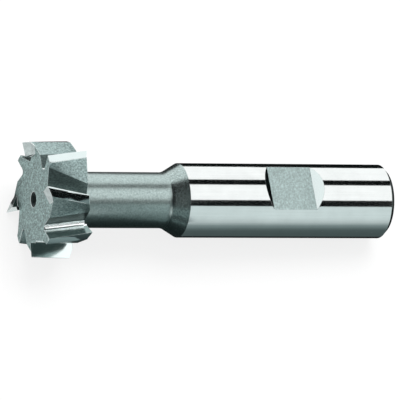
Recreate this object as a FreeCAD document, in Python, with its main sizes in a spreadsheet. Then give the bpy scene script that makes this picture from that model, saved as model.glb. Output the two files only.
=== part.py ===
import FreeCAD, Part
import math
import os

import Sketcher

# A T-slot milling cutter in high speed steel, ground from one bar.
# The tool lies along X: teeth towards -X, driving shank towards +X, clamping flat facing +Z.
# It is drawn from the shank's end face, and then placed so that the origin is on its axis
# under the middle of the clamping flat. All sizes are in millimetres and degrees.

NODE = "t_slot_cutter"

# Driving sizes: name, value, what it is
SIZES = [
    ("cutter_diameter", 25.0, "over the cutting edges"),
    ("cutter_width", 11.0, "front edges to rear edges"),
    ("neck_diameter", 12.0, "what passes through the slot's narrow part"),
    ("neck_reach", 23.5, "rear edges to the full shank, shoulder included"),
    ("shank_diameter", 16.0, "held by the tool holder"),
    ("shank_length", 48.0, "parallel length with its end chamfer"),
    ("shank_chamfer", 1.0, "45 degrees at the end"),
    ("shoulder_angle", 30.0, "cone from neck to shank, from the axis"),
    ("shoulder_fillet", 3.0, "where the cone leaves the neck"),
    ("head_root_cone", 0.6, "45 degrees where the neck leaves the head"),
    ("flat_length", 10.0, "floor of the clamping flat"),
    ("flat_across", 14.2, "flat to the far side of the shank"),
    ("flat_centre", 23.5, "middle of the flat from the shank end"),
    ("flat_end_angle", 45.0, "slope of the flat's two end walls"),
    ("centre_angle", 60.0, "cone of both centre holes"),
    ("front_centre_mouth", 3.35, "diameter at the front face"),
    ("front_centre_pilot", 1.6, "pilot diameter"),
    ("front_centre_depth", 3.5, "whole depth"),
    ("rear_centre_mouth", 5.3, "diameter at the shank end"),
    ("rear_centre_pilot", 2.5, "pilot diameter"),
    ("rear_centre_depth", 5.5, "whole depth"),
    ("teeth_per_hand", 4, "teeth of each helix hand, set alternately"),
    ("tooth_phase", 17.5, "first front tooth from the flat, at mid width"),
    ("tooth_stagger", 43.5, "from a front tooth to the rear tooth ahead of it, at mid width"),
    ("helix_angle", 11.0, "one hand, and the other, by turns"),
    ("rake_angle", 8.0, "undercut of the cutting faces"),
    ("land_width", 2.0, "both ground lands behind each edge"),
    ("first_land_width", 0.5, "the one next to the edge"),
    ("first_land_clearance", 4.0, "fall of the first land"),
    ("second_land_clearance", 14.0, "fall of the second land"),
    ("gullet_depth", 4.0, "cutting edge to the gullet's floor"),
    ("gullet_angle", 60.0, "between the cutting face and the far wall"),
    ("gullet_radius", 0.8, "floor of the gullet"),
    ("front_gap_wall_front", 4.8, "far wall before a front tooth, at the front edges"),
    ("front_gap_wall_rear", 2.1, "the same at the rear edges"),
    ("rear_gap_wall_front", 3.0, "far wall before a rear tooth, at the front edges"),
    ("rear_gap_wall_rear", 2.8, "the same at the rear edges"),
    ("front_recess", 1.5, "front face behind the front edges"),
    ("front_nose_slope", 25.0, "fall of a front edge's face"),
    ("front_nose_root", 9.3, "radius where the front edges start"),
    ("rear_recess", 0.6, "rear face inside the rear edges"),
    ("rear_nose_slope", 18.0, "fall of a rear edge's face"),
    ("rear_nose_root", 8.8, "radius where the rear edges start"),
    ("rear_bevel_length", 1.6, "front teeth cut back at the rear, along the axis"),
    ("rear_bevel_depth", 3.5, "the same, towards the axis"),
    ("grinding_allowance", 0.3, "left on the turned head, and ground off with the lands"),
    ("overrun", 1.0, "how far each cutting tool runs past the metal"),
]

# Worked-out sizes, as expressions of the sheet's names
RADIUS = "Sizes.cutter_diameter / 2"
BLANK_RADIUS = f"{RADIUS} + Sizes.grinding_allowance"
SHANK_RADIUS = "Sizes.shank_diameter / 2"
NECK_RADIUS = "Sizes.neck_diameter / 2"
FRONT_TIP = "-(Sizes.shank_length + Sizes.neck_reach + Sizes.cutter_width)"
REAR_TIP = "-(Sizes.shank_length + Sizes.neck_reach)"
FRONT_FACE = f"{FRONT_TIP} + Sizes.front_recess"
REAR_FACE = f"{REAR_TIP} - Sizes.rear_recess"
MID_WIDTH = f"{REAR_TIP} - Sizes.cutter_width / 2"
SHOULDER_START = f"-Sizes.shank_length - ({SHANK_RADIUS} - {NECK_RADIUS}) / tan(Sizes.shoulder_angle)"
FLAT_FLOOR = f"Sizes.flat_across - {SHANK_RADIUS}"
HALF_CUT = "(Sizes.cutter_width / 2 + Sizes.overrun)"
TURN_PER_LENGTH = "(360 / pi * tan(Sizes.helix_angle) / Sizes.cutter_diameter)"
HALF_TURN = f"{TURN_PER_LENGTH} * Sizes.cutter_width / 2"
CUT_TURN = f"{TURN_PER_LENGTH} * {HALF_CUT}"

# The front teeth lead at the front edges. The rear teeth have the other helix and lead at the rear.
FRONT_TEETH = "(90 + Sizes.tooth_phase)"
REAR_TEETH = f"({FRONT_TEETH} - Sizes.tooth_stagger)"

# Turn from a tooth to the one ahead of it: at mid width, and how it changes towards the rear
FRONT_PITCH = ("Sizes.tooth_stagger", f"2 * {CUT_TURN}")
REAR_PITCH = ("360 / Sizes.teeth_per_hand - Sizes.tooth_stagger", f"-2 * {CUT_TURN}")


def fail(message):
    raise RuntimeError(message)


def fill_sheet(doc):
    """Write the driving sizes to the sheet, one row each: name, value, note."""
    sheet = doc.addObject("Spreadsheet::Sheet", "Sizes")
    for row, (alias, value, note) in enumerate(SIZES, start=1):
        sheet.set(f"A{row}", alias)
        sheet.set(f"B{row}", str(value))
        sheet.set(f"C{row}", note)
        sheet.setAlias(f"B{row}", alias)
    doc.recompute()
    return sheet


def work_out(sheet, expression):
    """The number that an expression of the sheet's names gives now."""
    found = sheet.evalExpression(expression)
    return float(getattr(found, "Value", found))


def origin_part(body, role):
    for feature in body.Origin.OriginFeatures:
        if feature.Role == role:
            return feature
    return fail(f"no origin feature {role}")


def new_sketch(body, name, plane):
    sketch = body.newObject("Sketcher::SketchObject", name)
    sketch.AttachmentSupport = [(origin_part(body, plane), "")]
    sketch.MapMode = "FlatFace"
    return sketch


def across_sketch(body, sheet, name, station, turn):
    """A sketch across the tool, station along the axis, its x axis turned from +Y towards +Z."""
    sketch = new_sketch(body, name, "YZ_Plane")
    turned = FreeCAD.Rotation(FreeCAD.Vector(0, 0, 1), work_out(sheet, turn))
    sketch.AttachmentOffset = FreeCAD.Placement(FreeCAD.Vector(0, 0, work_out(sheet, station)), turned)
    sketch.setExpression("AttachmentOffset.Base.z", station)
    sketch.setExpression("AttachmentOffset.Rotation.Angle", turn)
    return sketch


def tipped_sketch(body, sheet, name, plane, turn):
    """A sketch on a plane through the axis, tipped about it so that it follows one tooth."""
    sketch = new_sketch(body, name, plane)
    tip = f"{turn} - 90"
    tipped = FreeCAD.Rotation(FreeCAD.Vector(1, 0, 0), work_out(sheet, tip))
    sketch.AttachmentOffset = FreeCAD.Placement(FreeCAD.Vector(0, 0, 0), tipped)
    sketch.setExpression("AttachmentOffset.Rotation.Angle", tip)
    return sketch


def pin_point(sketch, geometry, end, x, y):
    """Hold one end of a line, or an arc's centre, at two expressions from the sketch's origin."""
    for kind, expression in (("DistanceX", x), ("DistanceY", y)):
        here = work_out(sketch.Document.Sizes, expression)
        number = sketch.addConstraint(Sketcher.Constraint(kind, -1, 1, geometry, end, here))
        sketch.setExpression(f"Constraints[{number}]", expression)


def draw_outline(sketch, corners):
    """A closed outline of straight lines through corners given as pairs of expressions."""
    sheet = sketch.Document.Sizes
    spots = [FreeCAD.Vector(work_out(sheet, x), work_out(sheet, y), 0) for x, y in corners]
    count = len(spots)
    for index in range(count):
        sketch.addGeometry(Part.LineSegment(spots[index], spots[(index + 1) % count]), False)
    for index in range(count):
        sketch.addConstraint(Sketcher.Constraint("Coincident", index, 2, (index + 1) % count, 1))
    for index, (x, y) in enumerate(corners):
        pin_point(sketch, index, 1, x, y)


def draw_gap(sketch, share, end, pitch):
    """What is ground away between a tooth and the one ahead of it, across the tool.

    The tooth's cutting edge is on the sketch's x axis and the gap lies below it: cutting face,
    round floor, far wall, the back of the tooth ahead and then that tooth's two lands, a little
    past its edge. share runs from -1 in front of the head to 1 behind it.
    """
    sheet = sketch.Document.Sizes
    rake = "Sizes.rake_angle"
    wall = "(Sizes.rake_angle + Sizes.gullet_angle)"
    clear = "Sizes.first_land_clearance"
    relief = "Sizes.second_land_clearance"
    first = "Sizes.first_land_width"
    second = "(Sizes.land_width - Sizes.first_land_width)"
    floor = "Sizes.gullet_radius"
    depth = "Sizes.gullet_depth"
    lead = "(Sizes.overrun / 2)"
    ahead = f"({pitch[0]} + {share} * ({pitch[1]}))"
    wall_front = f"Sizes.{end}_gap_wall_front"
    wall_rear = f"Sizes.{end}_gap_wall_rear"
    change = f"({wall_rear} - {wall_front}) / Sizes.cutter_width * {HALF_CUT}"
    reach = f"(({wall_front} + {wall_rear}) / 2 + {share} * {change})"
    run_in = f"({depth} - {floor} * (1 + sin({rake}))) / cos({rake})"

    def beside_edge(out, back):
        """A point given from the axis along the radius of the edge ahead, and back from it."""
        return (
            f"({out}) * cos({ahead}) + ({back}) * sin({ahead})",
            f"({back}) * cos({ahead}) - ({out}) * sin({ahead})",
        )

    def spot(pair):
        return FreeCAD.Vector(work_out(sheet, pair[0]), work_out(sheet, pair[1]), 0)

    centre = (f"{RADIUS} - {depth} + {floor}", f"{run_in} * sin({rake}) - {floor} * cos({rake})")
    corners = [
        (f"{RADIUS} + 2 * Sizes.overrun", f"-2 * Sizes.overrun * tan({rake})"),
        (
            f"{centre[0]} - {floor} * sin({wall}) + {reach} * cos({wall})",
            f"{centre[1]} - {floor} * cos({wall}) - {reach} * sin({wall})",
        ),
        beside_edge(
            f"{RADIUS} - {first} * sin({clear}) - {second} * sin({relief})",
            f"{first} * cos({clear}) + {second} * cos({relief})",
        ),
        beside_edge(f"{RADIUS} - {first} * sin({clear})", f"{first} * cos({clear})"),
        beside_edge(f"{RADIUS} + {lead} * sin({clear})", f"-{lead} * cos({clear})"),
        beside_edge(f"{RADIUS} + 6 * Sizes.overrun", f"-{lead}"),
    ]
    middle = spot(centre)
    size = work_out(sheet, floor)
    face_side = math.radians(90 - work_out(sheet, rake))
    wall_side = math.radians(270 - work_out(sheet, wall))
    face_touch = middle + FreeCAD.Vector(size * math.cos(face_side), size * math.sin(face_side), 0)
    wall_touch = middle + FreeCAD.Vector(size * math.cos(wall_side), size * math.sin(wall_side), 0)
    arc = Part.ArcOfCircle(Part.Circle(middle, FreeCAD.Vector(0, 0, 1), size), face_side, wall_side)
    spots = [spot(corner) for corner in corners]
    sketch.addGeometry(Part.LineSegment(spots[0], face_touch), False)
    sketch.addGeometry(arc, False)
    sketch.addGeometry(Part.LineSegment(wall_touch, spots[1]), False)
    for start, stop in zip(spots[1:], spots[2:] + spots[:1]):
        sketch.addGeometry(Part.LineSegment(start, stop), False)
    sketch.addConstraint(Sketcher.Constraint("Tangent", 0, 2, 1, 1))
    sketch.addConstraint(Sketcher.Constraint("Tangent", 1, 2, 2, 1))
    last = len(corners) + 1
    for index in range(2, last):
        sketch.addConstraint(Sketcher.Constraint("Coincident", index, 2, index + 1, 1))
    sketch.addConstraint(Sketcher.Constraint("Coincident", last, 2, 0, 1))
    number = sketch.addConstraint(Sketcher.Constraint("Radius", 1, size))
    sketch.setExpression(f"Constraints[{number}]", floor)
    pin_point(sketch, 1, 3, *centre)
    pin_point(sketch, 0, 1, *corners[0])
    for index, corner in enumerate(corners[1:], start=3):
        pin_point(sketch, index, 1, *corner)


def finish_feature(doc, feature, expected):
    """Recompute and make sure that the feature added or took away metal as it should.

    Faces stay as they are drawn, so the shank's wall keeps its two lengths.
    """
    if "Refine" in feature.PropertiesList:
        feature.Refine = False
    body = feature.getParentGeoFeatureGroup()
    before = 0.0 if body.Shape.isNull() else body.Shape.Volume
    body.Tip = feature
    doc.recompute()
    if "Invalid" in feature.State or "Error" in feature.State or feature.Shape.isNull():
        fail(f"{feature.Name} failed: {feature.State}")
    change = feature.Shape.Volume - before
    if (expected == "adds" and change <= 0) or (expected == "cuts" and change >= 0):
        fail(f"{feature.Name} changes the volume by {change:.3f}")
    print(f"{feature.Name}: volume change {change:.2f} mm3")
    return feature


def turn_outline(doc, body, kind, name, corners):
    """A revolved feature about the tool's axis, from an outline in the upright plane."""
    sketch = new_sketch(body, f"{name}_outline", "XZ_Plane")
    draw_outline(sketch, corners)
    feature = body.newObject(kind, name)
    feature.Profile = sketch
    feature.ReferenceAxis = (sketch, ["H_Axis"])
    feature.Angle = 360
    return finish_feature(doc, feature, "adds" if kind.endswith("Revolution") else "cuts")


def round_edge(doc, body, name, station, radius_there, size):
    """Fillet the round edge that lies at a station along the axis and a radius from it."""
    sheet = doc.Sizes
    x = work_out(sheet, station)
    r = work_out(sheet, radius_there)
    tip = body.Tip
    names = []
    for index, edge in enumerate(tip.Shape.Edges, start=1):
        curve = edge.Curve
        if curve.TypeId != "Part::GeomCircle":
            continue
        if abs(curve.Center.x - x) < 0.001 and abs(curve.Radius - r) < 0.001:
            names.append(f"Edge{index}")
    if not names:
        fail(f"no edge for {name}")
    fillet = body.newObject("PartDesign::Fillet", name)
    fillet.Base = (tip, names)
    fillet.Radius = work_out(sheet, size)
    fillet.setExpression("Radius", size)
    return finish_feature(doc, fillet, "any")


def turn_blank(doc, body):
    """The turned and ground blank: head, neck, shoulder, shank and its end chamfer.

    The shank's wall is drawn in two lengths that meet under the middle of the clamping flat, so
    that the middle of each is a full circle.
    """
    turn_outline(doc, body, "PartDesign::Revolution", "blank", [
        (FRONT_FACE, "0"),
        (FRONT_FACE, BLANK_RADIUS),
        (REAR_FACE, BLANK_RADIUS),
        (REAR_FACE, f"{NECK_RADIUS} + Sizes.head_root_cone"),
        (f"{REAR_FACE} + Sizes.head_root_cone", NECK_RADIUS),
        (SHOULDER_START, NECK_RADIUS),
        ("-Sizes.shank_length", SHANK_RADIUS),
        ("-Sizes.flat_centre", SHANK_RADIUS),
        ("-Sizes.shank_chamfer", SHANK_RADIUS),
        ("0", f"{SHANK_RADIUS} - Sizes.shank_chamfer"),
        ("0", "0"),
    ])
    round_edge(doc, body, "shoulder_root", SHOULDER_START, NECK_RADIUS, "Sizes.shoulder_fillet")


def drill_centre(doc, body, name, face, inward, end):
    """A centre hole: cone at the mouth, then a plain pilot with a drill point.

    inward is the sign of the way in along X, and end is front or rear.
    """
    mouth = f"Sizes.{end}_centre_mouth / 2"
    pilot = f"Sizes.{end}_centre_pilot / 2"
    cone = f"({mouth} - {pilot}) / tan(Sizes.centre_angle / 2)"
    point = f"{pilot} * tan(30)"
    depth = f"Sizes.{end}_centre_depth"
    turn_outline(doc, body, "PartDesign::Groove", name, [
        (face, "0"),
        (face, mouth),
        (f"{face} {inward} ({cone})", pilot),
        (f"{face} {inward} ({depth} - {point})", pilot),
        (f"{face} {inward} {depth}", "0"),
    ])


def mill_flat(doc, body):
    """The clamping flat across the top of the shank, with sloping end walls."""
    sketch = new_sketch(body, "flat_outline", "XZ_Plane")
    rise = f"({SHANK_RADIUS} + Sizes.overrun - ({FLAT_FLOOR}))"
    spread = f"{rise} / tan(Sizes.flat_end_angle)"
    start = "-Sizes.flat_centre - Sizes.flat_length / 2"
    stop = "-Sizes.flat_centre + Sizes.flat_length / 2"
    top = f"{SHANK_RADIUS} + Sizes.overrun"
    draw_outline(sketch, [
        (start, FLAT_FLOOR),
        (stop, FLAT_FLOOR),
        (f"{stop} + {spread}", top),
        (f"{start} - {spread}", top),
    ])
    pocket = body.newObject("PartDesign::Pocket", "clamping_flat")
    pocket.Profile = sketch
    pocket.SideType = "Symmetric"
    pocket.setExpression("Length", "Sizes.shank_diameter + 2 * Sizes.overrun")
    finish_feature(doc, pocket, "cuts")


def copy_round(doc, body, originals, name, expected):
    """Repeat features round the axis, once for each tooth of one hand."""
    pattern = body.newObject("PartDesign::PolarPattern", name)
    pattern.Originals = originals
    pattern.Axis = (origin_part(body, "X_Axis"), [""])
    pattern.Angle = 360
    pattern.setExpression("Occurrences", "Sizes.teeth_per_hand")
    return finish_feature(doc, pattern, expected)


def raise_noses(doc, body, end, turn, tip, inward):
    """The wedges that stand out of one end face and carry that end's cutting edges.

    Each is a wedge seen along the tooth's radius: highest at the cutting face, and falling to
    the end face behind it. Its outside is ground with the land later.
    """
    sheet = doc.Sizes
    root = f"Sizes.{end}_nose_root"
    drop = f"Sizes.{end}_recess"
    run = f"{drop} / tan(Sizes.{end}_nose_slope)"
    sketch = tipped_sketch(body, sheet, f"{end}_nose_outline", "XY_Plane", turn)
    for letter, part in (("y", "cos"), ("z", "sin")):
        sketch.setExpression(f"AttachmentOffset.Base.{letter}", f"{root} * {part}({turn})")
    draw_outline(sketch, [
        (tip, "0"),
        (f"{tip} {inward} {drop}", f"-{run}"),
        (f"{tip} {inward} ({drop} + Sizes.overrun)", f"-{run}"),
        (f"{tip} {inward} ({drop} + Sizes.overrun)", "0"),
    ])
    nose = body.newObject("PartDesign::Pad", f"{end}_nose")
    nose.Profile = sketch
    nose.setExpression("Length", f"{RADIUS} + Sizes.overrun / 2 - {root}")
    finish_feature(doc, nose, "adds")
    copy_round(doc, body, [nose], f"{end}_noses", "adds")


def cut_gaps(doc, body, end, turn, hand, pitch):
    """Cut the gaps in front of the teeth of one hand, with the backs and lands of the other hand.

    Each is a loft along the helix: one outline before the head, one at its middle and one behind
    it. hand is the sign of the turn from front to rear: 1 for the front teeth, -1 for the rear.
    """
    sheet = doc.Sizes
    sketches = []
    for place, share in (("front", -1), ("middle", 0), ("rear", 1)):
        station = f"{MID_WIDTH} + {share} * {HALF_CUT}"
        turned = f"{turn} + {share * hand} * {CUT_TURN}"
        sketch = across_sketch(body, sheet, f"{end}_gap_{place}", station, turned)
        draw_gap(sketch, share, end, pitch)
        sketches.append(sketch)
    doc.recompute()
    loft = body.newObject("PartDesign::SubtractiveLoft", f"{end}_gap")
    loft.Profile = sketches[0]
    loft.Sections = [(sketch, [""]) for sketch in sketches[1:]]
    loft.Ruled = False
    finish_feature(doc, loft, "cuts")
    copy_round(doc, body, [loft], f"{end}_gaps", "cuts")


def bevel_front_teeth(doc, body):
    """The front teeth are cut back at the rear, so that only the rear teeth cut there."""
    rear_turn = f"{FRONT_TEETH} + {HALF_TURN}"
    sketch = tipped_sketch(body, doc.Sizes, "bevel_outline", "XZ_Plane", rear_turn)
    beyond = f"{RADIUS} + Sizes.overrun"
    slope = "(Sizes.rear_bevel_length / Sizes.rear_bevel_depth)"
    draw_outline(sketch, [
        (f"{REAR_TIP} - Sizes.rear_bevel_length - {slope} * Sizes.overrun", beyond),
        (f"{REAR_TIP} + {slope} * Sizes.overrun", f"{RADIUS} - Sizes.rear_bevel_depth - Sizes.overrun"),
        (f"{REAR_TIP} + {slope} * Sizes.overrun", beyond),
    ])
    bevel = body.newObject("PartDesign::Pocket", "rear_bevel")
    bevel.Profile = sketch
    bevel.SideType = "Symmetric"
    bevel.setExpression("Length", "3 * Sizes.land_width")
    finish_feature(doc, bevel, "cuts")
    copy_round(doc, body, [bevel], "rear_bevels", "cuts")


def make_cutter(doc):
    body = doc.addObject("PartDesign::Body", "Cutter")
    body.Label = NODE
    body.setExpression("Placement.Base.x", "Sizes.flat_centre")
    turn_blank(doc, body)
    raise_noses(doc, body, "front", f"{FRONT_TEETH} - {HALF_TURN}", FRONT_TIP, "+")
    raise_noses(doc, body, "rear", f"{REAR_TEETH} - {HALF_TURN}", REAR_TIP, "-")
    cut_gaps(doc, body, "front", FRONT_TEETH, 1, FRONT_PITCH)
    cut_gaps(doc, body, "rear", REAR_TEETH, -1, REAR_PITCH)
    bevel_front_teeth(doc, body)
    drill_centre(doc, body, "front_centre", FRONT_FACE, "+", "front")
    drill_centre(doc, body, "rear_centre", "0", "-", "rear")
    mill_flat(doc, body)
    return body


def check_document(doc, bodies):
    for item in doc.Objects:
        if "Invalid" in item.State or "Error" in item.State:
            fail(f"{item.Name} is {item.State}")
    for body in bodies:
        if body.Shape.isNull() or not body.Shape.isValid():
            fail(f"{body.Label} has no valid shape")
        if len(body.Shape.Solids) != 1:
            fail(f"{body.Label} has {len(body.Shape.Solids)} solids")


def main():
    doc = FreeCAD.newDocument("cutter")
    fill_sheet(doc)
    bodies = [make_cutter(doc)]
    doc.recompute()
    check_document(doc, bodies)
    os.makedirs("parts", exist_ok=True)
    for body in bodies:
        body.Shape.exportStep(os.path.join("parts", f"{body.Label}.step"))
        box = body.Shape.BoundBox
        print(f"{body.Label}: volume {body.Shape.Volume:.1f} mm3, faces {len(body.Shape.Faces)}")
        print(f"x {box.XMin:.2f} to {box.XMax:.2f}, y {box.YMin:.2f} to {box.YMax:.2f}")
        print(f"z {box.ZMin:.2f} to {box.ZMax:.2f}")


main()
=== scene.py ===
"""Dressing of the T-slot milling cutter: its finished steel, and the studio it is seen in.

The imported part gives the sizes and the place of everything. Two pieces stand for its one solid:
the toothed head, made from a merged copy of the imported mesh, and the neck with the shank,
modelled here with finer sections so that its polished wall reflects cleanly.
"""
import logging
import math
from dataclasses import dataclass
from enum import Enum
from typing import Iterable, Sequence

import bmesh
import bpy
from mathutils import Matrix, Vector


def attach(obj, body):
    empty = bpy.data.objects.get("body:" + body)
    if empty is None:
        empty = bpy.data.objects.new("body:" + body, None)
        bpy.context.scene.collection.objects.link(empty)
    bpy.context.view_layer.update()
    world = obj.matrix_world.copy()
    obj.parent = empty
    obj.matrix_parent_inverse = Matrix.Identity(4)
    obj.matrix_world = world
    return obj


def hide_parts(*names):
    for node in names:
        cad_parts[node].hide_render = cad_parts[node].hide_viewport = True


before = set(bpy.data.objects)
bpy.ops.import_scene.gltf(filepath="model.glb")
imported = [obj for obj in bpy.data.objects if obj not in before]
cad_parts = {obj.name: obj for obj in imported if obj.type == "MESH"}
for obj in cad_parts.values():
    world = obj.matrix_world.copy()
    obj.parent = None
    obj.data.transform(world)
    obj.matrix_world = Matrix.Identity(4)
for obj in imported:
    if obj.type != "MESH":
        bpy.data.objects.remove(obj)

LOG = logging.getLogger("cutter")
MM = 0.001
NODE = "t_slot_cutter"
BODY = "root"
UNTINTED = (1, 1, 1, 1)
# Bands of faces along a broken edge, and the highest weight for the larger faces' normals
EDGE_SEGMENTS = 2
LARGE_FACES_LEAD = 100


class Region(Enum):
    """A surface of the tool that is finished in its own way."""

    WALL = "shank_wall"
    NECK = "neck_wall"
    CONE = "shoulder_cone"
    FLAT_FLOOR = "flat_floor"
    FLAT_WALL = "flat_end_wall"
    FLAT_STEP = "flat_shaded_step"
    END_FACE = "shank_end"
    CENTRE = "centre_hole_painted_shade"
    LAND = "tooth_land"
    RAKE = "cutting_face"
    BACK = "tooth_back"
    GULLET_WALL = "gullet_far_wall_painted_shade"
    GULLET = "gullet_floor_painted_highlight"
    HUB = "head_face_grain_and_shade"
    NOSE = "end_edge_face"
    EDGE = "broken_edge_painted_highlight"


class Nodes:
    """A small helper that adds nodes to a tree and joins them."""

    def __init__(self, tree: bpy.types.NodeTree) -> None:
        """Start on an empty tree."""
        self.tree = tree
        tree.nodes.clear()

    def add(self, kind: str, **settings: object) -> bpy.types.Node:
        """Add a node.

        Args:
            kind: the node's type without its Shader prefix.
            settings: attributes of the node.

        Returns:
            The new node.
        """
        node = self.tree.nodes.new(f"ShaderNode{kind}")
        for name, value in settings.items():
            setattr(node, name, value)
        return node

    def join(self, source: bpy.types.NodeSocket, target: bpy.types.NodeSocket) -> None:
        """Link an output to an input."""
        self.tree.links.new(source, target)

    def math(self, operation: str, *values: bpy.types.NodeSocket | float) -> bpy.types.NodeSocket:
        """A Math node on sockets or numbers.

        Args:
            operation: the node's operation.
            values: its inputs, each a socket or a number.

        Returns:
            The result's socket.
        """
        node = self.add("Math", operation=operation)
        for value, entry in zip(values, node.inputs):
            if isinstance(value, bpy.types.NodeSocket):
                self.join(value, entry)
            else:
                entry.default_value = value
        return node.outputs[0]

    def mix(self, share: bpy.types.NodeSocket, first: bpy.types.Node,
            second: bpy.types.Node) -> bpy.types.NodeSocket:
        """Blend two shaders.

        Args:
            share: how much of the second one shows.
            first: the shader that shows where the share is zero.
            second: the shader that shows where the share is one.

        Returns:
            The blend's socket.
        """
        node = self.add("MixShader")
        self.join(share, node.inputs["Fac"])
        self.join(first.outputs[0], node.inputs[1])
        self.join(second.outputs[0], node.inputs[2])
        return node.outputs[0]

    def surface(self, shader: bpy.types.NodeSocket, kind: str = "OutputMaterial") -> None:
        """End the tree with an output node that shows a shader.

        Args:
            shader: the shader's socket.
            kind: the output node's type without its Shader prefix.
        """
        self.join(shader, self.add(kind).inputs["Surface"])


def new_material(name: str) -> tuple[bpy.types.Material, Nodes]:
    """Start a node material.

    Args:
        name: its name.

    Returns:
        The material and the helper of its empty tree.
    """
    material = bpy.data.materials.new(name)
    material.use_nodes = True
    return material, Nodes(material.node_tree)


class GrainGroup:
    """The shader group for tool marks: fine lines along one way, and soft patches."""

    NAME = "tool_marks"
    LINE_DETAIL = 4.0
    LINE_ROUGHNESS = 0.65
    PATCH_DETAIL = 2.0

    @classmethod
    def tree(cls) -> bpy.types.NodeTree:
        """The group, made the first time it is asked for.

        Returns:
            The group's node tree.
        """
        if cls.NAME in bpy.data.node_groups:
            return bpy.data.node_groups[cls.NAME]
        group = bpy.data.node_groups.new(cls.NAME, "ShaderNodeTree")
        new = group.interface.new_socket
        new(name="Place", in_out="INPUT", socket_type="NodeSocketVector")
        new(name="Stretch", in_out="INPUT", socket_type="NodeSocketVector")
        new(name="Patch Size", in_out="INPUT", socket_type="NodeSocketFloat")
        new(name="Lines", in_out="OUTPUT", socket_type="NodeSocketFloat")
        new(name="Patches", in_out="OUTPUT", socket_type="NodeSocketFloat")
        make = Nodes(group)
        inside = group.nodes.new("NodeGroupInput")
        outside = group.nodes.new("NodeGroupOutput")
        spread = make.add("VectorMath", operation="MULTIPLY")
        make.join(inside.outputs["Place"], spread.inputs[0])
        make.join(inside.outputs["Stretch"], spread.inputs[1])
        fine = make.add("TexNoise")
        fine.inputs["Scale"].default_value = 1.0
        fine.inputs["Detail"].default_value = cls.LINE_DETAIL
        fine.inputs["Roughness"].default_value = cls.LINE_ROUGHNESS
        make.join(spread.outputs[0], fine.inputs["Vector"])
        soft = make.add("TexNoise")
        soft.inputs["Detail"].default_value = cls.PATCH_DETAIL
        make.join(inside.outputs["Place"], soft.inputs["Vector"])
        make.join(inside.outputs["Patch Size"], soft.inputs["Scale"])
        make.join(fine.outputs["Fac"], outside.inputs["Lines"])
        make.join(soft.outputs["Fac"], outside.inputs["Patches"])
        return group


@dataclass(frozen=True)
class Finish:
    """How one surface of the steel is finished.

    Lengths are in metres. stretch gives the lines' fineness along each axis, per metre: a low
    number along an axis makes the lines run that way. depth is how far the lines are cut in. The
    swings say how much the lines and the patches change the tone and the roughness. round_lines
    runs the lines round the axis, where wander is how far they leave a true circle.
    """

    region: Region
    tone: tuple[float, float, float]
    rough: float
    stretch: tuple[float, float, float]
    depth: float
    tone_swing: float = 0.08
    rough_swing: float = 0.06
    patch: float = 260.0
    round_lines: bool = False
    edge_tint: float = 1.0
    wander: float = 0.02

    def material(self) -> bpy.types.Material:
        """The finish as a node material.

        Returns:
            The material.
        """
        material, make = new_material(self.region.value)
        place = make.add("TexCoord").outputs["Object"]
        if self.round_lines:
            place = self._round_place(make, place)
        marks = make.add("Group", node_tree=GrainGroup.tree())
        make.join(place, marks.inputs["Place"])
        marks.inputs["Stretch"].default_value = self.stretch
        marks.inputs["Patch Size"].default_value = self.patch
        steel = make.add("BsdfPrincipled")
        steel.inputs["Metallic"].default_value = 1.0
        steel.inputs["Specular Tint"].default_value = (self.edge_tint, self.edge_tint, self.edge_tint, 1)
        lowest = 1.0 - self.tone_swing / 2
        shade = make.math("MULTIPLY_ADD", marks.outputs["Patches"], self.tone_swing, lowest)
        streak = make.math("MULTIPLY_ADD", marks.outputs["Lines"], self.tone_swing, lowest)
        both = make.math("MULTIPLY", shade, streak)
        colour = make.add("VectorMath", operation="SCALE")
        colour.inputs[0].default_value = self.tone
        make.join(both, colour.inputs["Scale"])
        make.join(colour.outputs[0], steel.inputs["Base Color"])
        smoothest = self.rough - self.rough_swing / 2
        rough = make.math("MULTIPLY_ADD", marks.outputs["Lines"], self.rough_swing, smoothest)
        make.join(rough, steel.inputs["Roughness"])
        bump = make.add("Bump")
        bump.inputs["Distance"].default_value = self.depth
        bump.inputs["Strength"].default_value = 1.0
        make.join(marks.outputs["Lines"], bump.inputs["Height"])
        make.join(bump.outputs["Normal"], steel.inputs["Normal"])
        make.surface(steel.outputs[0])
        return material

    def _round_place(self, make: Nodes, place: bpy.types.NodeSocket) -> bpy.types.NodeSocket:
        """Turn a place into station and distance from the axis, for lines round the tool.

        Args:
            make: the tree's helper.
            place: the object coordinates.

        Returns:
            A vector of station, distance from the axis and a little of the height.
        """
        split = make.add("SeparateXYZ")
        make.join(place, split.inputs[0])
        across = make.math("POWER", split.outputs["Y"], 2.0)
        upright = make.math("POWER", split.outputs["Z"], 2.0)
        radius = make.math("SQRT", make.math("ADD", across, upright))
        merge = make.add("CombineXYZ")
        make.join(split.outputs["X"], merge.inputs["X"])
        make.join(radius, merge.inputs["Y"])
        make.join(make.math("MULTIPLY", split.outputs["Z"], self.wander), merge.inputs["Z"])
        return merge.outputs[0]


# Tones of the steel; the two darkest hold painted shade
STEEL = (0.62, 0.645, 0.64)
BRIGHT = (0.56, 0.63, 0.625)
DULL = (0.335, 0.41, 0.40)
GROUND = (0.28, 0.365, 0.36)
SATIN_AND_SHADE = (0.20, 0.285, 0.277)
STEP_SHADE = (0.05, 0.065, 0.065)
# How fine the marks are along each axis, per metre
LENGTHWISE = (60.0, 2600.0, 2600.0)
CROSSWISE = (5200.0, 500.0, 5200.0)
ALONG_TEETH = (400.0, 5000.0, 5000.0)
ROUGHED = (1300.0, 5600.0, 5600.0)
SPECKLED = (4600.0, 4200.0, 4200.0)
MOTTLED = (2000.0, 2400.0, 2400.0)
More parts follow.
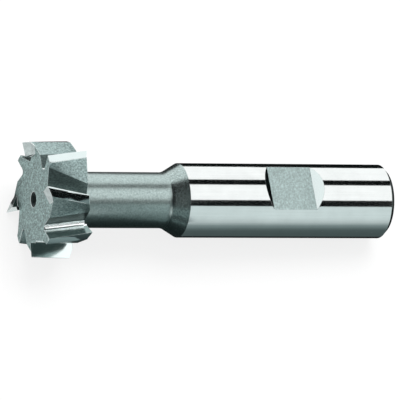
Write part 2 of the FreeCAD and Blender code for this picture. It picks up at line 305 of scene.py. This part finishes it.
# Region, tone, roughness, marks and their depth
FINISHES = (
    Finish(Region.WALL, STEEL, 0.09, LENGTHWISE, 0.15e-6, tone_swing=0.16),
    Finish(Region.NECK, DULL, 0.29, SPECKLED, 1.5e-6, tone_swing=0.85, patch=2400.0),
    Finish(Region.CONE, (0.32, 0.39, 0.38), 0.25, SPECKLED, 1.0e-6, tone_swing=1.0, patch=2400.0),
    Finish(Region.FLAT_FLOOR, (0.46, 0.57, 0.56), 0.42, (4600.0, 1200.0, 1200.0), 6.0e-6, tone_swing=1.0,
           patch=3000.0),
    Finish(Region.FLAT_WALL, BRIGHT, 0.22, CROSSWISE, 1.0e-6),
    # The flat's step towards the shank's end: its near-black tone is painted shade
    Finish(Region.FLAT_STEP, STEP_SHADE, 0.3, CROSSWISE, 1.0e-6, edge_tint=0.0),
    Finish(Region.END_FACE, DULL, 0.25, (6000.0, 6000.0, 60.0), 1.5e-6, round_lines=True),
    # The centre holes: their near-black tone is painted shade in the recess
    Finish(Region.CENTRE, (0.025, 0.032, 0.032), 0.3, (6000.0, 3000.0, 60.0), 1.0e-6, round_lines=True),
    Finish(Region.LAND, BRIGHT, 0.07, ALONG_TEETH, 0.1e-6, rough_swing=0.03),
    Finish(Region.RAKE, (0.66, 0.75, 0.74), 0.18, ALONG_TEETH, 0.8e-6),
    Finish(Region.BACK, GROUND, 0.42, ROUGHED, 6.0e-6, tone_swing=1.7, patch=3000.0),
    # The gullet's far wall: its near-black tone is painted shade in the recess
    Finish(Region.GULLET_WALL, (0.115, 0.155, 0.15), 0.36, ROUGHED, 3.0e-6, tone_swing=1.4, patch=3000.0),
    # The gullet floor: its near-white tone is a painted highlight
    Finish(Region.GULLET, (0.94, 0.98, 0.975), 0.22, (300.0, 4200.0, 4200.0), 1.2e-6),
    # The head's face: real grain, and a dark tone that is painted shade, the floor's shadow that it
    # reflects
    Finish(Region.HUB, SATIN_AND_SHADE, 0.40, (4600.0, 4200.0, 2600.0), 5.0e-6, tone_swing=2.8, patch=2600.0),
    Finish(Region.NOSE, (0.42, 0.48, 0.475), 0.3, MOTTLED, 3.0e-6, tone_swing=0.8, patch=900.0),
    # Broken edges: a real small bevel, whose near-white tone is a painted highlight
    Finish(Region.EDGE, (0.92, 0.96, 0.955), 0.45, MOTTLED, 1.0e-6),
)


def only(target: bpy.types.Object) -> None:
    """Select one object alone and make it the active one.

    Args:
        target: the object.
    """
    bpy.ops.object.select_all(action="DESELECT")
    target.select_set(True)
    bpy.context.view_layer.objects.active = target


def give_finishes(piece: bpy.types.Object, regions: Sequence[Region]) -> None:
    """Put the finishes on a piece, and its faces into them.

    Args:
        piece: the piece to dress.
        regions: the region of each face, in the mesh's order.
    """
    used = [finish for finish in FINISHES if finish.region in set(regions)]
    piece.data.materials.clear()
    number = {}
    for index, finish in enumerate(used):
        known = bpy.data.materials.get(finish.region.value)
        piece.data.materials.append(known or finish.material())
        number[finish.region] = index
    piece.data.polygons.foreach_set("material_index", [number[region] for region in regions])
    piece.data.update()


def round_edges(piece: bpy.types.Object, width: float, angle: float, finish: int = -1) -> None:
    """Break the sharp edges of a piece slightly.

    Args:
        piece: the piece.
        width: how far from the edge, in metres.
        angle: edges sharper than this are broken, in degrees.
        finish: the number of the new faces' finish, or -1 for that of their neighbours.
    """
    broken = piece.modifiers.new("edges", "BEVEL")
    broken.limit_method = "ANGLE"
    broken.angle_limit = math.radians(angle)
    broken.width = width
    broken.segments = EDGE_SEGMENTS
    broken.material = finish
    only(piece)
    bpy.ops.object.modifier_apply(modifier=broken.name)


def even_normals(piece: bpy.types.Object, angle: float) -> None:
    """Smooth a piece up to an angle, the larger faces leading.

    Args:
        piece: the piece.
        angle: edges sharper than this stay sharp, in degrees.
    """
    only(piece)
    bpy.ops.object.shade_smooth_by_angle(angle=math.radians(angle))
    weighted = piece.modifiers.new("even", "WEIGHTED_NORMAL")
    weighted.keep_sharp = True
    weighted.weight = LARGE_FACES_LEAD
    bpy.ops.object.modifier_apply(modifier=weighted.name)


@dataclass
class Shank:
    """The neck, the cone shoulder and the driving shank with its clamping flat.

    Lengths are in metres and angles in degrees. level and sloping are cosines: they say how near
    to upright a level face's normal has to be, and how near to the tool's axis an end wall's. The
    two slacks are how far past its size a face still counts as part of the flat or of the neck.
    """

    start: float = -49.6 * MM
    neck_radius: float = 6.0 * MM
    radius: float = 8.0 * MM
    shoulder: float = -24.5 * MM
    shoulder_angle: float = 30.0
    fillet: float = 3.0 * MM
    fillet_steps: int = 8
    end: float = 23.5 * MM
    chamfer: float = 1.0 * MM
    flat_height: float = 6.2 * MM
    flat_half: float = 5.0 * MM
    cutter_height: float = 3.0 * MM
    centre_mouth: float = 2.65 * MM
    centre_pilot: float = 1.25 * MM
    centre_depth: float = 5.5 * MM
    centre_slope: float = 30.0
    centre_tip: float = 0.02 * MM
    sides: int = 248
    edge_round: float = 0.06 * MM
    sharp_angle: float = 28.0
    smooth_angle: float = 26.0
    level: float = 0.97
    sloping: float = 0.5
    floor_slack: float = 0.02 * MM
    neck_slack: float = 0.1 * MM

    def profile(self) -> list[tuple[float, float]]:
        """Stations along the axis and radii, from the head to the bottom of the centre hole.

        Returns:
            Pairs of station and radius.
        """
        slope = math.radians(self.shoulder_angle)
        corner = self.shoulder - (self.radius - self.neck_radius) / math.tan(slope)
        lead = self.fillet * math.tan(slope / 2)
        points = [(self.start, self.neck_radius)]
        for step in range(self.fillet_steps + 1):
            turn = slope * step / self.fillet_steps
            points.append((
                corner - lead + self.fillet * math.sin(turn),
                self.neck_radius + self.fillet * (1 - math.cos(turn)),
            ))
        points.append((self.shoulder, self.radius))
        points.append((self.end - self.chamfer, self.radius))
        points.append((self.end, self.radius - self.chamfer))
        points.append((self.end, self.centre_mouth))
        centre_slope = math.tan(math.radians(self.centre_slope))
        cone = (self.centre_mouth - self.centre_pilot) / centre_slope
        point = self.centre_pilot * centre_slope
        points.append((self.end - cone, self.centre_pilot))
        points.append((self.end - self.centre_depth + point, self.centre_pilot))
        points.append((self.end - self.centre_depth, self.centre_tip))
        return points

    def turn(self) -> bpy.types.Object:
        """Model the turned form: a disc drawn out ring by ring along the profile.

        Returns:
            The turned piece.
        """
        points = self.profile()
        station, radius = points[0]
        bpy.ops.object.select_all(action="DESELECT")
        bpy.ops.mesh.primitive_circle_add(
            vertices=self.sides, radius=radius, fill_type="NGON",
            location=(station, 0, 0), rotation=(0, math.pi / 2, 0))
        piece = bpy.context.object
        piece.name = "neck_and_shank"
        bpy.ops.object.transform_apply(location=True, rotation=True, scale=True)
        bpy.ops.object.mode_set(mode="EDIT")
        bpy.ops.mesh.select_all(action="SELECT")
        for next_station, next_radius in points[1:]:
            bpy.ops.mesh.extrude_region_move(
                TRANSFORM_OT_translate={"value": (next_station - station, 0, 0)})
            share = next_radius / radius
            bpy.ops.transform.resize(value=(1, share, share), center_override=(next_station, 0, 0))
            station, radius = next_station, next_radius
        bpy.ops.mesh.select_all(action="SELECT")
        bpy.ops.mesh.normals_make_consistent(inside=False)
        bpy.ops.object.mode_set(mode="OBJECT")
        return piece

    def mill_flat(self, piece: bpy.types.Object) -> None:
        """Cut the clamping flat with a block whose ends slope at 45 degrees.

        Args:
            piece: the turned piece.
        """
        tool = self.flat_tool()
        cut = piece.modifiers.new("flat", "BOOLEAN")
        cut.operation = "DIFFERENCE"
        cut.solver = "EXACT"
        cut.object = tool
        only(piece)
        bpy.ops.object.modifier_apply(modifier=cut.name)
        bpy.data.objects.remove(tool)

    def flat_tool(self) -> bpy.types.Object:
        """Model the block that the flat is cut with: its top is longer than its bottom.

        Returns:
            The block.
        """
        rise = self.cutter_height
        bpy.ops.object.select_all(action="DESELECT")
        bpy.ops.mesh.primitive_cube_add(size=1, location=(0, 0, self.flat_height + rise / 2))
        tool = bpy.context.object
        tool.scale = (2 * self.flat_half, 4 * self.radius, rise)
        bpy.ops.object.transform_apply(location=True, rotation=True, scale=True)
        bpy.ops.object.mode_set(mode="EDIT")
        bpy.ops.mesh.select_mode(type="FACE")
        bpy.ops.mesh.select_all(action="DESELECT")
        bpy.ops.object.mode_set(mode="OBJECT")
        for face in tool.data.polygons:
            face.select = face.normal.z > self.level
        bpy.ops.object.mode_set(mode="EDIT")
        top = self.flat_height + rise
        widen = (self.flat_half + rise) / self.flat_half
        bpy.ops.transform.resize(value=(widen, 1, 1), center_override=(0, 0, top))
        bpy.ops.mesh.select_mode(type="VERT")
        bpy.ops.object.mode_set(mode="OBJECT")
        return tool

    def region(self, centre: Vector, normal: Vector) -> Region:
        """The region that a face of the piece belongs to.

        Args:
            centre: the face's centre.
            normal: the face's normal.

        Returns:
            Its region.
        """
        out = math.hypot(centre.y, centre.z)
        if out < self.centre_mouth and centre.x > 0:
            return Region.CENTRE
        if centre.x > self.end - self.chamfer:
            return Region.END_FACE
        low = centre.z < self.flat_height + self.floor_slack
        if abs(centre.x) < self.flat_half and normal.z > self.level and low:
            return Region.FLAT_FLOOR
        if abs(centre.x) < 2 * self.flat_half and abs(normal.x) > self.sloping:
            # The end wall that faces the shank's end takes the painted shade of the step
            return Region.FLAT_WALL if normal.x < 0 else Region.FLAT_STEP
        if centre.x > self.shoulder:
            return Region.WALL
        if out > self.neck_radius + self.neck_slack:
            return Region.CONE
        return Region.NECK

    def build(self) -> bpy.types.Object:
        """Model and dress the piece.

        Returns:
            The finished piece.
        """
        piece = self.turn()
        self.mill_flat(piece)
        round_edges(piece, self.edge_round, self.sharp_angle)
        even_normals(piece, self.smooth_angle)
        give_finishes(piece, [self.region(face.center, face.normal) for face in piece.data.polygons])
        return piece


@dataclass
class Head:
    """The toothed head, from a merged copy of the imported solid's mesh.

    Lengths are in metres and angles in degrees. square, nose_slope, facing and turned_away are
    cosines: they say how near a face's normal has to be to the axis, to the way outwards or to the
    way the teeth cut.
    """

    cut_station: float = -48.05 * MM
    front_face: float = -57.5 * MM
    rear_face: float = -48.6 * MM
    land_inner: float = 11.7 * MM
    centre_mouth: float = 1.675 * MM
    centre_slack: float = 0.05 * MM
    gullet_inner: float = 9.4 * MM
    edge_round: float = 0.12 * MM
    merge_within: float = 0.001 * MM
    square: float = 0.98
    nose_slope: float = 0.75
    facing: float = 0.85
    turned_away: float = 0.1
    flat_angle: float = 0.25
    patch_angle: float = 5.0
    sharp_angle: float = 30.0
    smooth_angle: float = 20.0

    def copy(self) -> bpy.types.Object:
        """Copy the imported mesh, merge it, and keep the head's side of it.

        Returns:
            The head.
        """
        only(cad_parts[NODE])
        bpy.ops.object.duplicate()
        piece = bpy.context.object
        piece.name = "toothed_head"
        piece.parent = None
        for key in list(piece.keys()):
            del piece[key]
        piece.data.name = "toothed_head"
        bpy.ops.mesh.customdata_custom_splitnormals_clear()
        bpy.ops.object.mode_set(mode="EDIT")
        bpy.ops.mesh.select_all(action="SELECT")
        bpy.ops.mesh.remove_doubles(threshold=self.merge_within)
        bpy.ops.mesh.select_all(action="SELECT")
        bpy.ops.mesh.bisect(
            plane_co=(self.cut_station, 0, 0), plane_no=(1, 0, 0), use_fill=True, clear_outer=True)
        bpy.ops.mesh.select_all(action="SELECT")
        bpy.ops.mesh.dissolve_limited(angle_limit=math.radians(self.flat_angle))
        bpy.ops.object.mode_set(mode="OBJECT")
        return piece

    def patches(self, piece: bpy.types.Object) -> list[list[int]]:
        """Group the faces that join without a sharp edge between them.

        Args:
            piece: the head.

        Returns:
            Lists of face numbers.
        """
        mesh = bmesh.new()
        mesh.from_mesh(piece.data)
        mesh.faces.ensure_lookup_table()
        limit = math.radians(self.patch_angle)
        seen: set[int] = set()
        found = []
        for first in mesh.faces:
            if first.index in seen:
                continue
            seen.add(first.index)
            group, edge_of_search = [], [first]
            while edge_of_search:
                face = edge_of_search.pop()
                group.append(face.index)
                for edge in face.edges:
                    if len(edge.link_faces) != 2 or edge.calc_face_angle(math.pi) > limit:
                        continue
                    for other in edge.link_faces:
                        if other.index not in seen:
                            seen.add(other.index)
                            edge_of_search.append(other)
            found.append(group)
        mesh.free()
        return found

    def region(self, face: bpy.types.MeshPolygon, innermost: float) -> Region:
        """The region that a face belongs to.

        Args:
            face: a face of the head.
            innermost: the smallest radius in its patch.

        Returns:
            Its region.
        """
        centre, normal = face.center, face.normal
        out = Vector((0, centre.y, centre.z))
        radius = out.length
        out.normalize()
        ahead = normal.dot(Vector((0, out.z, -out.y)))
        if radius < self.centre_mouth + self.centre_slack and abs(normal.x) < self.square:
            return Region.CENTRE
        if abs(normal.x) > self.square:
            return Region.HUB
        if abs(normal.x) > self.nose_slope and self.at_end(centre.x):
            return Region.NOSE
        if radius > self.land_inner and normal.dot(out) > self.facing:
            return Region.LAND
        if ahead > self.facing and normal.dot(out) < self.turned_away:
            return Region.RAKE
        # Faces turned back from the cutting way form the gullet floor, which takes a painted highlight
        if ahead > -self.turned_away:
            return Region.GULLET
        # Faces that reach deep into a gullet take the far wall's painted shade
        return Region.GULLET_WALL if innermost < self.gullet_inner else Region.BACK

    def at_end(self, station: float) -> bool:
        """Whether a station is past the front face or the rear face."""
        return not self.front_face < station < self.rear_face

    def dress(self, piece: bpy.types.Object) -> None:
        """Put the finishes on the faces, patch by patch.

        Args:
            piece: the head.
        """
        corners = piece.data.vertices
        regions: dict[int, Region] = {}
        for group in self.patches(piece):
            innermost = min(
                math.hypot(corners[corner].co.y, corners[corner].co.z)
                for number in group for corner in piece.data.polygons[number].vertices)
            for number in group:
                regions[number] = self.region(piece.data.polygons[number], innermost)
        give_finishes(piece, [regions[number] for number in range(len(piece.data.polygons))])

    def break_edges(self, piece: bpy.types.Object) -> None:
        """Break the sharp edges: with a painted highlight at the two ends of the head, and like the lands
        between.

        Args:
            piece: the dressed head.
        """
        edge = next(finish for finish in FINISHES if finish.region is Region.EDGE)
        piece.data.materials.append(edge.material())
        bright = len(piece.data.materials) - 1
        round_edges(piece, self.edge_round, self.sharp_angle, bright)
        land = piece.data.materials.find(Region.LAND.value)
        for face in piece.data.polygons:
            if face.material_index == bright and not self.at_end(face.center.x):
                face.material_index = land

    def build(self) -> bpy.types.Object:
        """Make and dress the piece.

        Returns:
            The finished piece.
        """
        piece = self.copy()
        self.dress(piece)
        self.break_edges(piece)
        even_normals(piece, self.smooth_angle)
        return piece


@dataclass
class Camera:
    """The photograph's view: nearly square to the axis, the teeth turned a little to the front.

    right and up are the picture's directions in the tool's own frame, and middle is the point it
    looks at. width_there is how much it sees at that distance, in metres, and roll is in degrees.
    """

    right: tuple[float, float, float] = (0.924, -0.168, 0.344)
    up: tuple[float, float, float] = (0.0, 0.899, 0.438)
    middle: tuple[float, float, float] = (-19.10 * MM, 0.111 * MM, 0.017 * MM)
    distance: float = 1.5
    width_there: float = 85.94 * MM
    roll: float = 0.34
    sensor: float = 36.0
    sees_to: float = 50.0

    def build(self) -> None:
        """Add the camera and make it the scene's."""
        right = Vector(self.right).normalized()
        back = right.cross(Vector(self.up)).normalized()
        up = back.cross(right)
        turn = Matrix((right, up, back)).transposed().to_4x4()
        data = bpy.data.cameras.new("camera")
        data.sensor_width = self.sensor
        data.lens = self.sensor * self.distance / self.width_there
        data.clip_end = self.sees_to
        camera = bpy.data.objects.new("camera", data)
        place = Matrix.Translation(Vector(self.middle) + back * self.distance)
        camera.matrix_world = place @ turn @ Matrix.Rotation(math.radians(self.roll), 4, "Z")
        bpy.context.scene.collection.objects.link(camera)
        bpy.context.scene.camera = camera


# The tent's distance from the tool's axis in millimetres, and the steps of its curves
TENT_RADIUS = 500
ARCH_STEPS = 8
# Turns of its main strips about the axis, from the horizontal on the far side, in degrees
FAR_SIDE = (-8, 47.5)
FIRST_STRIPE = (47.5, 65.5)
OVERHEAD = (65.5, 133)
UPPER_NEAR = (107, 133)
NEAR_SIDE = (133, 187)
# Its main shades
WHITE = 1.46
PALE = 0.33
GREY = 0.2
DIM = 0.11
DEEP = 0.06
BLACK = 0.006


@dataclass(frozen=True)
class Sheet:
    """A sheet of the light tent, drawn along the tool's axis, in millimetres.

    It runs from the station start to the station stop. The path gives points of across, height and
    brightness. A sheet that lies on the floor takes its heights from there.
    """

    start: float
    stop: float
    path: tuple[tuple[float, float, float], ...]
    on_floor: bool = False


def arched(start: float, stop: float, low: float, high: float, level: float,
           radius: float = TENT_RADIUS) -> Sheet:
    """A sheet bent about the tool's axis.

    Args:
        start: the station where it starts, in millimetres.
        stop: the station where it ends.
        low: its first turn, from the horizontal on the far side up and over, in degrees.
        high: its last turn, in degrees.
        level: how bright it is.
        radius: its distance from the axis, in millimetres.

    Returns:
        The sheet.
    """
    turns = [math.radians(low + (high - low) * step / ARCH_STEPS) for step in range(ARCH_STEPS + 1)]
    path = tuple((radius * math.cos(turn), radius * math.sin(turn), level) for turn in turns)
    return Sheet(start, stop, path)


def painted_floor_reflection(start: float, stop: float, height: float, *shades: tuple[float, float]) -> Sheet:
    """A level sheet just over the floor, bright and dark across the tool's axis: a painted reflection of
    the floor and of the tool's shadow on it.

    Args:
        start: the station where it starts, in millimetres.
        stop: the station where it ends.
        height: how far over the floor it lies, in millimetres.
        shades: pairs of across and brightness, blended from each to the next.

    Returns:
        The sheet.
    """
    return Sheet(start, stop, tuple((across, height, level) for across, level in shades), True)


SHEETS = (
    # The far side, up from the horizon, with the first dark stripe
    arched(-1000, 700, *FAR_SIDE, WHITE),
    arched(-1000, -500, 47.5, 64, WHITE),
    arched(-500, -12, *FIRST_STRIPE, BLACK),
    arched(-12, 46, *FIRST_STRIPE, WHITE),
    arched(46, 420, *FIRST_STRIPE, BLACK),
    # From overhead down towards the near side, with the second dark stripe
    arched(140, 700, 65.5, 117, WHITE),
    arched(-60, 140, 65.5, 107, WHITE),
    arched(-500, -425, *OVERHEAD, 0.15),
    arched(-425, -60, *OVERHEAD, BLACK),
    arched(-60, 34, *UPPER_NEAR, BLACK),
    arched(34, 66, *UPPER_NEAR, WHITE),
    arched(66, 124, 107, 130.3, BLACK),
    arched(124, 140, 107, 116, WHITE),
    arched(124, 140, 116, 130.3, BLACK),
    arched(66, 140, 130.3, 133, PALE),
    arched(140, 172, 117, 126, WHITE),
    arched(140, 172, 126, 133, GREY),
    arched(152, 275, 114, 134.3, BLACK, 495),
    # The near side, down to just below the horizon
    arched(60, 130, *NEAR_SIDE, PALE),
    arched(130, 176, *NEAR_SIDE, GREY),
    arched(176, 700, *NEAR_SIDE, PALE),
    arched(-150, 60, *NEAR_SIDE, DIM),
    arched(-500, -150, *NEAR_SIDE, DEEP),
    # In front of the head: a grey sheet on the near side and a black one on the far side
    arched(-500, -150, 146, 178, 0.32, 480),
    arched(-500, -150, 42, 48, BLACK, 480),
    # Two upright cards close to the tool, on the near side
    Sheet(6, 150, ((-80, 88, 1.0), (-80, 26, 1.0), (-80, 14, 0.95), (-80, 0, 0.8), (-80, -16, 0.72))),
    Sheet(-42, -20, ((-79, 10, WHITE), (-79, 58, WHITE))),
    # Painted reflection of the floor: painted shadow under the tool, white beyond it
    painted_floor_reflection(-60, -57, 0.3, (5.5, BLACK), (52, BLACK)),
    painted_floor_reflection(-57, 20, 0.3, (1, BLACK), (52, BLACK)),
    painted_floor_reflection(-20, 20, 0.5, (52, BLACK), (66, BLACK)),
    painted_floor_reflection(20, 150, 0.3, (1, BLACK), (76, BLACK)),
    painted_floor_reflection(-500, 20, 0.3, (52, WHITE), (500, WHITE)),
    painted_floor_reflection(20, 500, 0.3, (76, WHITE), (500, WHITE)),
    # Painted reflection of the floor on the near side: painted shadow, darkest near the tool
    painted_floor_reflection(-22, 150, 0.3, (1, BLACK), (-8.2, BLACK), (-8.8, 0.11), (-12, 0.12), (-18, 0.14), (-24, 0.22),
        (-28, 0.29), (-34, 0.34), (-41, 0.43), (-52, 0.59), (-84, 0.72)),
    painted_floor_reflection(-22, -9, 0.6, (-42, 0.12), (-84, 0.15)),
    painted_floor_reflection(-40.5, -22, 0.3, (1, 0.02), (-24, 0.04), (-46, 0.10), (-84, 0.15)),
    painted_floor_reflection(-58, -40.5, 0.3, (1, 0.02), (-20, 0.03), (-26, 0.3), (-32, 0.38), (-84, 0.3)),
    painted_floor_reflection(-58, -46, 0.6, (-50, DEEP), (-84, DEEP)),
    painted_floor_reflection(-58, 500, 0.2, (-84, 0.15), (-500, 0.3)),
    painted_floor_reflection(-500, -58, 0.2, (-60, DEEP), (-500, DEEP)),
    painted_floor_reflection(38, 130, 0.5, (-30, BLACK), (1, BLACK)),
)


def seen_directly(make: Nodes) -> bpy.types.NodeSocket:
    """A mask that is one for rays from the camera, and for mirrored or passed ones.

    Args:
        make: the tree's helper.

    Returns:
        The mask's socket.
    """
    path = make.add("LightPath")
    seen = make.math("MAXIMUM", path.outputs["Is Camera Ray"], path.outputs["Is Glossy Ray"])
    return make.math("MAXIMUM", seen, path.outputs["Is Transmission Ray"])


def for_steel_only(thing: bpy.types.Object) -> None:
    """Let a thing show in reflections and nowhere else.

    Args:
        thing: the object.
    """
    thing.visible_camera = False
    thing.visible_diffuse = False
    thing.visible_transmission = False
    thing.visible_volume_scatter = False
    thing.visible_shadow = False


@dataclass
class Studio:
    """A pale floor under the tool, a soft lamp, and a light tent that only the steel sees, with a painted
    reflection of the floor and of the tool's shadow.

    touches are the three points that the tool rests on. dark_red and pale_red are the share of red
    in the tent's darkest sheets and in those from pale_level up, which makes the steel look cool.
    """

    touches: tuple[tuple[float, float, float], ...] = (
        (-59.0 * MM, 2.73 * MM, -12.2 * MM),
        (22.5 * MM, -0.19 * MM, -8.0 * MM),
        (-53.54 * MM, -3.54 * MM, -11.74 * MM),
    )
    floor_size: float = 6.0
    floor_tone: tuple[float, float, float] = (0.90, 0.905, 0.905)
    floor_glow: float = 0.8
    dark_red: float = 0.70
    pale_red: float = 0.88
    pale_level: float = 0.7
    lamp_place: tuple[float, float, float] = (0.15, 0.45, 1.0)
    lamp_size: float = 0.9
    lamp_energy: float = 11.0
    sky_strength: float = 0.7

    def rest_turn(self) -> Matrix:
        """The turn and place of the plane that the tool rests on.

        Returns:
            A matrix whose z axis is the floor's normal.
        """
        first, second, third = (Vector(point) for point in self.touches)
        up = (second - first).cross(third - first).normalized()
        if up.z < 0:
            up.negate()
        along = (Vector((1, 0, 0)) - up * up.x).normalized()
        across = up.cross(along)
        turn = Matrix((along, across, up)).transposed().to_4x4()
        under = -up * abs(up.dot(second))
        return Matrix.Translation(under) @ turn

    def floor(self) -> None:
        """Add the floor: pale paper that also glows where the camera or the steel sees it."""
        bpy.ops.object.select_all(action="DESELECT")
        bpy.ops.mesh.primitive_plane_add(size=self.floor_size)
        floor = bpy.context.object
        floor.name = "floor"
        floor.data.transform(self.rest_turn())
        material, make = new_material("floor_paper")
        paper = make.add("BsdfDiffuse")
        paper.inputs["Color"].default_value = (*self.floor_tone, 1)
        glow = make.add("Emission")
        glow.inputs["Color"].default_value = UNTINTED
        glow.inputs["Strength"].default_value = 1.0
        share = make.math("MULTIPLY", seen_directly(make), self.floor_glow)
        make.surface(make.mix(share, paper, glow))
        floor.data.materials.append(material)

    def sheet_colour(self, level: float) -> tuple[float, float, float, float]:
        """The colour of a sheet: white ones are plain, and darker ones have less red.

        Args:
            level: how bright the sheet is.

        Returns:
            Its red, green, blue and alpha.
        """
        if level >= WHITE:
            return (level, level, level, 1)
        red = self.dark_red + (self.pale_red - self.dark_red) * min(1.0, level / self.pale_level)
        return (red * level, level, level, 1)

    def tent_mesh(self) -> bpy.types.Mesh:
        """Draw the tent's sheets round the tool, each corner with its own colour.

        Returns:
            The mesh.
        """
        place = self.rest_turn()
        corners: list[Vector] = []
        faces: list[tuple[int, ...]] = []
        levels: list[float] = []
        for sheet in SHEETS:
            first = len(corners)
            for across, height, level in sheet.path:
                for station in (sheet.start, sheet.stop):
                    corner = Vector((station, across, height)) * MM
                    corners.append(place @ corner if sheet.on_floor else corner)
                    levels.append(level)
            for step in range(len(sheet.path) - 1):
                low = first + 2 * step
                faces.append((low, low + 1, low + 3, low + 2))
        mesh = bpy.data.meshes.new("light_tent")
        mesh.from_pydata(corners, [], faces)
        lights = mesh.color_attributes.new("light", "FLOAT_COLOR", "POINT")
        for point, level in zip(lights.data, levels):
            point.color = self.sheet_colour(level)
        return mesh

    def tent(self) -> None:
        """Hang the tent, which glows in its corners' colours."""
        mesh = self.tent_mesh()
        tent = bpy.data.objects.new("light_tent", mesh)
        bpy.context.scene.collection.objects.link(tent)
        material, make = new_material("tent_light")
        colour = make.add("Attribute", attribute_name="light")
        glow = make.add("Emission")
        make.join(colour.outputs["Color"], glow.inputs["Color"])
        make.surface(glow.outputs[0])
        mesh.materials.append(material)
        for_steel_only(tent)

    def lamps(self) -> None:
        """Add the lamp and the world that light the floor."""
        lamp = bpy.data.lights.new("soft_box", "AREA")
        lamp.shape = "DISK"
        lamp.size = self.lamp_size
        lamp.energy = self.lamp_energy
        place = Vector(self.lamp_place)
        soft = bpy.data.objects.new("soft_box", lamp)
        soft.matrix_world = Matrix.Translation(place) @ place.to_track_quat("Z", "Y").to_matrix().to_4x4()
        soft.visible_glossy = False
        bpy.context.scene.collection.objects.link(soft)
        world = bpy.data.worlds.new("room")
        bpy.context.scene.world = world
        world.use_nodes = True
        make = Nodes(world.node_tree)
        sky = make.add("Background")
        sky.inputs["Color"].default_value = UNTINTED
        sky.inputs["Strength"].default_value = self.sky_strength
        bare = make.add("Background")
        bare.inputs["Color"].default_value = UNTINTED
        bare.inputs["Strength"].default_value = 1.0
        make.surface(make.mix(seen_directly(make), sky, bare), "OutputWorld")

    def build(self) -> None:
        """Set the studio up."""
        self.floor()
        self.tent()
        self.lamps()
        bpy.context.scene.view_settings.view_transform = "Standard"


def main() -> None:
    """Build the two pieces, the studio and the camera."""
    logging.basicConfig(level=logging.INFO, format="%(message)s")
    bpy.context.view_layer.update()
    for piece in (Head().build(), Shank().build()):
        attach(piece, BODY)
        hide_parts(NODE)
        LOG.info("%s: %d faces", piece.name, len(piece.data.polygons))
    Studio().build()
    Camera().build()


if __name__ == "__main__":
    main()
